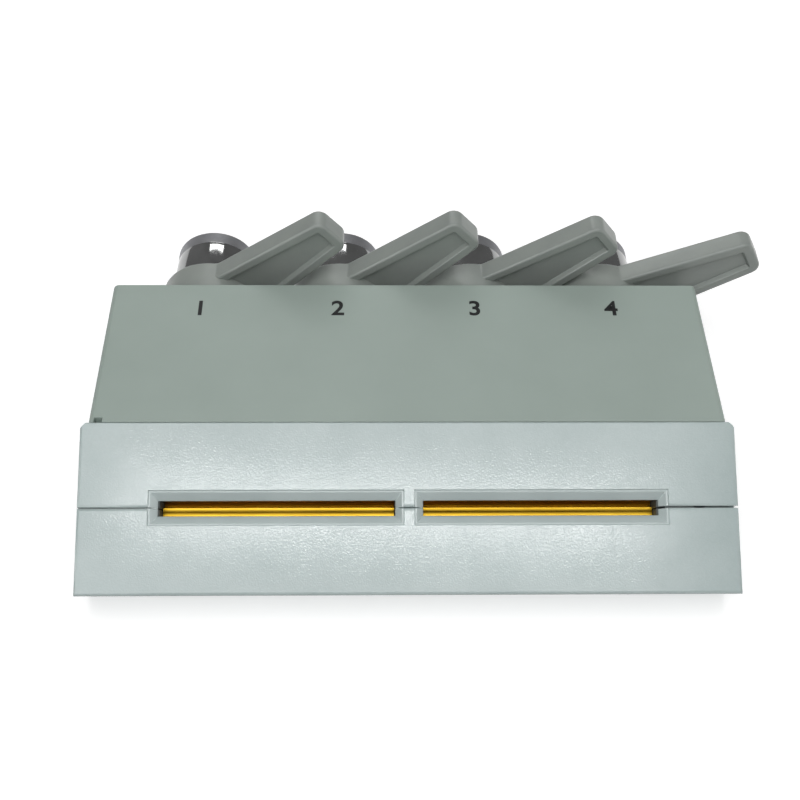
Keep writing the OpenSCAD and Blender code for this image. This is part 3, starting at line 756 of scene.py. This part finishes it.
def lever_hub():
    """The hub as a ring, with a chamfer in front and a rounded edge behind."""
    front = [(hub_bore, hub_front), (hub_r - hub_chamfer, hub_front), (hub_r, hub_front + hub_chamfer)]
    rear = []
    for f in fractions(5):
        x, y = polar(hub_round, math.pi / 2 * f)
        rear.append((hub_r - hub_round + x, hub_reach - hub_round + y))
    return revolve([*front, *rear, (hub_bore, hub_reach)])


print("lever: hub", 2 * hub_r, "mm across, pocket", pocket_walls[-1][1], "mm deep")

# %% Levers
for i in range(4):
    lever = carve(lever_hub(), [lever_arm()], "UNION")
    piece = finished(f"lever_grip_{i + 1}", lever, on_axis(i), lever_plastic.material, 38)
    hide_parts(f"lever_{i + 1}")
    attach(piece, f"lever_set_{i + 1}")
print("levers: arms of", arm_len, "mm at", lever_angles, "degrees")

# %% [markdown]
# ## The coupling sleeves
#
# A sleeve is turned from brass and plated: a collar under the lever's hub, a bright barrel and a
# duller band at the mouth. Inside it, two grooves run in from the mouth and wind a quarter turn, to
# draw the jack's studs in. The body is a revolved outline. Each groove is a ribbon laid on the bore
# along a bent path, thick enough to cut, and the exact boolean takes it away.

# %% Sleeve shapes
sleeve_r, bore_r, mouth, hub_end = 6.85, 4.88, 16.1, hub_reach + 0.1
collar_r, seat_r, neck_r = 6.0, 5.6, 4.42
collar_z, seat_z, neck_z = 1.6, 2.2, 3.6
band_r, band_from, band_len, crown = sleeve_r - 0.12, 6.3, 2.5, 0.1
barrel_start, barrel_end = hub_end + 0.2, mouth - band_len - 0.1
groove_r, groove_half, groove_straight, groove_draw = 5.65, 1.1, 3.0, 5.0


def crowned(f):
    """A point of the bright barrel, which is a trace thicker in its middle than at its ends."""
    return (sleeve_r - crown * (2 * f - 1) ** 2, barrel_start + (barrel_end - barrel_start) * f)


sleeve_outline = [
    (neck_r, seat_z), (seat_r, seat_z), (seat_r, collar_z), (collar_r, collar_z),
    (collar_r, hub_end - 0.02), (sleeve_r - 0.3, hub_end), (sleeve_r - 0.16, hub_end + 0.06),
    *[crowned(f) for f in fractions(10)],
    (band_r, mouth - band_len), (band_r, mouth - 0.4),
    (sleeve_r - 0.2, mouth - 0.16), (sleeve_r - 0.42, mouth),
    (bore_r + 0.3, mouth), (bore_r, mouth - 0.3), (bore_r, neck_z), (neck_r, neck_z),
]


def groove_tool(start):
    """A bayonet groove as a curved ribbon with a thickness: in from the mouth, then a quarter turn."""
    inner_r, turn_z = bore_r - 0.6, mouth - groove_straight
    line = [(0.0, mouth + 0.5)]
    line += [(math.pi / 2 * f * bore_r, turn_z - groove_draw * f) for f in fractions(10)]
    points = [Vector(p) for p in line]
    sections = []
    for k, p in enumerate(points):
        side = sideways(points, k, groove_half)
        corners = ((inner_r, p + side), (inner_r, p - side), (groove_r, p - side), (groove_r, p + side))
        sections.append([(*polar(r, start + q.x / bore_r), q.y) for r, q in corners])
    return loft(sections)


print("sleeve outline:", len(sleeve_outline), "points, grooves", 2 * groove_half, "mm wide")

# %% Coupling sleeves
for i in range(4):
    grooves = [groove_tool(math.radians(start)) for start in (65, 245)]
    turned = carve(revolve(sleeve_outline, 128), grooves)
    piece = finished(f"plated_sleeve_{i + 1}", turned, on_axis(i), chrome.material, 38)
    piece.data.materials.append(band.material)
    for face in piece.data.polygons:
        c = face.center / MM
        outside = math.hypot(c.x - plug_x(i), c.z - axis_z) > band_from
        face.material_index = int(outside and c.y > rear_y + mouth - band_len)
    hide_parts(f"coupling_sleeve_{i + 1}")
    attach(piece, f"lever_set_{i + 1}")
print("sleeves:", 2 * sleeve_r, "mm across, mouth", mouth, "mm behind the panel")

# %% [markdown]
# ## The screws
#
# Ten screws show on the outside: four in the base, four in the rear panel and two in the block's
# lower edge. They are one job for Geometry Nodes. A small tree takes points, puts the same screw on
# each, turns each by a chance amount, as a screwdriver leaves them, and makes plain faces of the
# lot. The seed is fixed, so every run leaves them the same.

# %% Screw shapes
thread_pitch, thread_half, thread_deep = 0.45, 0.22, 0.18
under_head, before_end = 0.4, 0.6
point_len, point_in = 0.35, 0.3


def screw(head, length, radius, key_r, key_deep):
    """A screw along +Z from a head outline of (radius, height) points, with a hexagonal socket."""
    top = head[0][1]
    thread, z = [], head[-1][1] + under_head
    while z < length - before_end:
        thread += [(radius, z), (radius - thread_deep, z + thread_half)]
        z += thread_pitch
    end = [(radius, length - point_len), (radius - point_in, length), (0.0, length)]
    body = revolve([(0.0, top), *head, *thread, *end], 40)
    bmesh.ops.remove_doubles(body, verts=body.verts, dist=0.001)
    key = [polar(key_r, math.radians(60 * k)) for k in range(6)]
    return as_object("screw_shape", carve(body, [prism(key, top - over, top + key_deep)]))


flush_head = [(2.08, 0.0), (2.18, 0.03), (2.23, 0.1), (1.25, 1.02)]
round_head = [(2.3, -1.8), (2.55, -1.72), (2.68, -1.5), (2.7, -0.1), (2.6, 0.0), (1.5, 0.0)]
print("screw heads:", len(flush_head), "points flush and", len(round_head), "points round")


# %% Screw row tree
def screw_row_tree():
    """Points in, and on each of them the screw, aimed along an axis and turned by chance."""
    tree = bpy.data.node_groups.new("screw_row", "GeometryNodeTree")
    for name, kind in (
        ("Points", "Geometry"), ("Screw", "Object"), ("Axis", "Vector"),
        ("Loose turn", "Float"), ("Seed", "Int"), ("Finish", "Material"),
    ):
        tree.interface.new_socket(name, in_out="INPUT", socket_type="NodeSocket" + kind)
    tree.interface.new_socket("Row", in_out="OUTPUT", socket_type="NodeSocketGeometry")
    add, join = tree.nodes.new, tree.links.new
    start, end = add("NodeGroupInput"), add("NodeGroupOutput")
    shape, chance = add("GeometryNodeObjectInfo"), add("FunctionNodeRandomValue")
    spin, aim = add("FunctionNodeAxisAngleToRotation"), add("FunctionNodeEulerToRotation")
    turn, place = add("FunctionNodeRotateRotation"), add("GeometryNodeInstanceOnPoints")
    plain, coat = add("GeometryNodeRealizeInstances"), add("GeometryNodeSetMaterial")
    turn.rotation_space = "LOCAL"
    join(start.outputs["Screw"], shape.inputs["Object"])
    join(start.outputs["Axis"], aim.inputs["Euler"])
    join(start.outputs["Loose turn"], chance.inputs[3])
    join(start.outputs["Seed"], chance.inputs["Seed"])
    join(chance.outputs[1], spin.inputs["Angle"])
    join(aim.outputs["Rotation"], turn.inputs["Rotation"])
    join(spin.outputs["Rotation"], turn.inputs["Rotate By"])
    join(start.outputs["Points"], place.inputs["Points"])
    join(shape.outputs["Geometry"], place.inputs["Instance"])
    join(turn.outputs["Rotation"], place.inputs["Rotation"])
    join(place.outputs["Instances"], plain.inputs["Geometry"])
    join(plain.outputs["Geometry"], coat.inputs["Geometry"])
    join(start.outputs["Finish"], coat.inputs["Material"])
    join(coat.outputs["Geometry"], end.inputs["Row"])
    return tree


row_tree = screw_row_tree()
row_sockets = [item for item in row_tree.interface.items_tree if item.in_out == "INPUT"]
row_inputs = {item.name: item.identifier for item in row_sockets}
print("screw row tree:", len(row_tree.nodes), "nodes, inputs", list(row_inputs))


# %% Screw rows
def screw_row(name, shape, points, tilt, seed):
    """The screws of one CAD node as one plain mesh."""
    bm = bmesh.new()
    for point in points:
        bm.verts.new(point)
    row = as_object("row_points", bm)
    nodes_on_row = row.modifiers.new("screws", "NODES")
    nodes_on_row.node_group = row_tree
    settings = {
        "Screw": shape, "Axis": (tilt, 0.0, 0.0), "Loose turn": math.radians(60),
        "Seed": seed, "Finish": screw_steel.material,
    }
    for title, value in settings.items():
        nodes_on_row[row_inputs[title]] = value
    bpy.context.view_layer.update()
    made = as_bmesh(row)
    bpy.data.objects.remove(row)
    bpy.data.objects.remove(shape)
    piece = finished(name + "_row", made, Matrix.Identity(4), screw_steel.material, 30)
    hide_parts(name)
    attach(piece, "fixture")
    return piece


base_x, base_back, post_h = housing_w / 2 - 3.85, rear_y - 14.6, 7.0
front_down = (housing_h - post_h - block_back * math.cos(slope)) / math.sin(slope)
base_front = profile(front_down, block_back)[0]
base_points = [(x, y, 0) for x in (-base_x, base_x) for y in (base_back, base_front)]
panel_edge = 4.7
panel_zs = (panel_edge, housing_h - panel_edge)
panel_points = [(x, rear_y, z) for x in (-plug_pitch, plug_pitch) for z in panel_zs]
jaw_x, head_seat, jaw_deep = (slot_pitch / 2 + recess_len / 2 + block_w / 2) / 2, 2.0, 3.8
jaw_points = [on_face @ Vector((x, head_seat - face_len, -jaw_deep)) for x in (-jaw_x, jaw_x)]
base_screw = screw(flush_head, length=4.5, radius=1.25, key_r=0.75, key_deep=0.75)
base_row = screw_row("base_screws", base_screw, base_points, tilt=0.0, seed=3)
panel_screw = screw(flush_head, length=8.5, radius=1.25, key_r=0.75, key_deep=0.75)
panel_row = screw_row("panel_screws", panel_screw, panel_points, tilt=math.pi / 2, seed=5)
jaw_screw = screw(round_head, length=18.4, radius=1.5, key_r=1.3, key_deep=1.1)
jaw_row = screw_row("jaw_screws", jaw_screw, jaw_points, tilt=slope - math.pi / 2, seed=7)
print("screws:", {row.name: len(row.data.polygons) for row in (base_row, panel_row, jaw_row)}, "faces")

# %% [markdown]
# ## The solids that stay
#
# The other pieces have the right shape already: the carriers in the slots, the inner parts of the
# plugs, the plates and the wiring. They keep their meshes and only change their finish. Each solid
# has one material slot, so the new finish goes straight into it.

# %% Finishes for the solids
stay = {
    "base_plate": sheet, "rear_panel": sheet, "carrier": dark_plastic, "terminal": gold,
    "plug_body": nickel, "plug_insulator": white_polymer, "centre_pin": gold, "panel_nut": nickel,
    "spring_washer": screw_steel, "retaining_ring": screw_steel, "signal_lead": sheath,
    "screws": screw_steel,
}
dressed = 0
for name, obj in nodes.items():
    for word, finish in stay.items():
        if word in name:
            for k in range(len(obj.material_slots)):
                obj.material_slots[k].material = finish.material
            dressed += 1
print("dressed solids:", dressed)

# %% [markdown]
# ## The printed numbers
#
# The flat top is printed near its rear edge, one mark in front of each plug. Plain numbers stand
# there. Text in Blender is a curve, so it is filled, thickened by a hair, turned into a mesh and
# only then laid on the paint.

# %% Printed numbers
number_h, number_back = 3.05, 6.7
figure_share = 0.7  # of the font's size, that a figure is high
stroke_grow, ink_half, ink_mid = 0.09, 0.008, 0.006


def printed(text, x, y):
    """A figure of ink, centred on x, with its foot at y."""
    curve = bpy.data.curves.new("number", "FONT")
    curve.body = text
    curve.align_x = "CENTER"
    curve.size = number_h / figure_share
    curve.offset = stroke_grow
    curve.extrude = ink_half
    holder = bpy.data.objects.new("number", curve)
    bpy.context.scene.collection.objects.link(holder)
    bm = as_bmesh(holder)
    bpy.data.objects.remove(holder)
    bpy.data.curves.remove(curve)
    on_top = Matrix.Translation((x, y, housing_h + ink_mid))
    return finished(f"printed_number_{text}", bm, on_top, ink.material)


for i in range(4):
    piece = printed(str(i + 1), plug_x(i), rear_y - number_back)
    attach(piece, "fixture")
print("printed numbers: 1 to 4")

# %% [markdown]
# ## Floor, light and camera
#
# The photograph has a plain white ground, yet the levers' undersides stay dark. So the floor glows
# for the camera but sends no soft light up at the object. The camera sees a white sky, and the
# object a dim one, which darkens behind it and below the horizon. A wide panel overhead gives the
# top faces their tone. Most other panels are there only to be mirrored: the sheen on the block, the
# bands on the gilt leaves, the bright edges of the levers and the glints on the sleeves. A last
# panel lights the back and is seen in no mirror. The camera stands where a fit to the photograph's
# edges placed it.

# %% Floor
floor_finish = Finish("pale_floor", Emission_Color=(1, 1, 1, 1), Emission_Strength=0.45)
floor_finish.colour(floor_finish.grain(400, 2), (0.86, 0.86, 0.86, 1), (0.88, 0.88, 0.88, 1))
floor_finish.roughness(floor_finish.grain(30, 3), 0.7, 0.8)
floor_bm = bmesh.new()
floor_half = 2.0
bmesh.ops.create_grid(floor_bm, x_segments=1, y_segments=1, size=floor_half)
floor = as_object("floor", floor_bm)
floor.data.materials.append(floor_finish.material)
floor.visible_diffuse = False
print("floor:", 2 * floor_half, "m square")

# %% Sky
world = bpy.data.worlds.new("studio")
bpy.context.scene.world = world
world.use_nodes = True
add, join = world.node_tree.nodes.new, world.node_tree.links.new
sky = world.node_tree.nodes["Background"]
sky.inputs["Color"].default_value = (1, 1, 1, 1)
towards = add("ShaderNodeTexCoord").outputs["Generated"]
behind = add("ShaderNodeVectorMath")
behind.operation = "DOT_PRODUCT"
behind.inputs[1].default_value = (0.6, 1.0, 0.0)
upward = add("ShaderNodeSeparateXYZ")
fade, dusk = add("ShaderNodeMapRange"), add("ShaderNodeMapRange")
both, shown = add("ShaderNodeMath"), add("ShaderNodeMath")
both.operation, shown.operation = "MULTIPLY", "MAXIMUM"
seen = add("ShaderNodeLightPath").outputs["Is Camera Ray"]
for source, target in (
    (towards, behind.inputs[0]), (towards, upward.inputs[0]),
    (behind.outputs["Value"], fade.inputs["Value"]), (upward.outputs["Z"], dusk.inputs["Value"]),
    (fade.outputs["Result"], both.inputs[0]), (dusk.outputs["Result"], both.inputs[1]),
    (both.outputs["Value"], shown.inputs[0]), (seen, shown.inputs[1]),
    (shown.outputs["Value"], sky.inputs["Strength"]),
):
    join(source, target)
set_range(fade, 0.5, 0.62, 0.28, 0.24)
set_range(dusk, -0.25, 0.05, 0.8, 1.0)
print("sky: white to the camera, dim to the object")


# %% Light panels
def panel(name, place, aim, size, power, roll=0.0):
    """A flat bright face, aimed at a point and turned about its aim by roll degrees."""
    lamp = bpy.data.lights.new(name, "AREA")
    lamp.shape = "RECTANGLE"
    lamp.size, lamp.size_y = size
    lamp.energy = power
    obj = bpy.data.objects.new(name, lamp)
    bpy.context.scene.collection.objects.link(obj)
    obj.location = place
    facing = (Vector(aim) - Vector(place)).to_track_quat("-Z", "Y").to_matrix()
    obj.rotation_euler = (facing @ Matrix.Rotation(math.radians(roll), 3, "Z")).to_euler()
    obj.visible_camera = False
    return obj


panel("overhead", (-0.02, -0.13, 0.31), (0, 0, 0.02), (0.30, 0.30), 0.68)
panel("low_front", (-0.05, -0.55, 0.22), (0, 0, 0.01), (0.5, 0.2), 0.08)
panel("right_strip", (0.45, -0.08, 0.06), (0, -0.01, 0.012), (0.3, 0.08), 0.22)
for mirrored in (
    panel("block_sheen", (-0.001, -0.1262, 0.2526), (0, -0.0155, 0.0153), (0.188, 0.013), 0.107, -2.3),
    panel("leaf_left", (-0.12, -0.26, 0.355), (-0.02, -0.017, 0.015), (0.20, 0.12), 0.036),
    panel("leaf_right", (0.07, -0.26, 0.355), (0.02, -0.017, 0.015), (0.18, 0.12), 0.025),
    panel("lever_edges", (-0.29, -0.25, 0.19), (0, 0.026, 0.028), (0.36, 0.22), 0.9),
    panel("sleeve_glint", (-0.025, 0.20, 0.148), (-0.02, 0.035, 0.018), (0.10, 0.022), 0.045),
):
    mirrored.visible_diffuse = False
panel("rear_fill", (0.05, 0.55, 0.40), (0, 0.03, 0.01), (0.6, 0.3), 1.1).visible_glossy = False
bpy.context.scene.view_settings.view_transform = "Standard"
print("light:", len(bpy.data.lights), "panels")

# %% Camera
pitch, yaw, roll = math.radians(51.31), math.radians(1.88), math.radians(1.43)
ahead = Vector((math.sin(yaw) * math.cos(pitch), math.cos(yaw) * math.cos(pitch), -math.sin(pitch)))
level = Vector((math.cos(yaw), -math.sin(yaw), 0))
upright = level.cross(ahead)
right = level * math.cos(roll) + upright * math.sin(roll)
up = upright * math.cos(roll) - level * math.sin(roll)
lens = bpy.data.cameras.new("camera")
lens.sensor_width, lens.lens, lens.clip_start = 36.0, 53.74, 0.005
camera = bpy.data.objects.new("camera", lens)
bpy.context.scene.collection.objects.link(camera)
eye = Vector((-4.97, face_top_y - 108.33, housing_h + 140.55)) * MM
camera.matrix_world = Matrix.Translation(eye) @ Matrix((right, up, -ahead)).transposed().to_4x4()
bpy.context.scene.camera = camera
print("camera at", [round(c, 4) for c in camera.location])
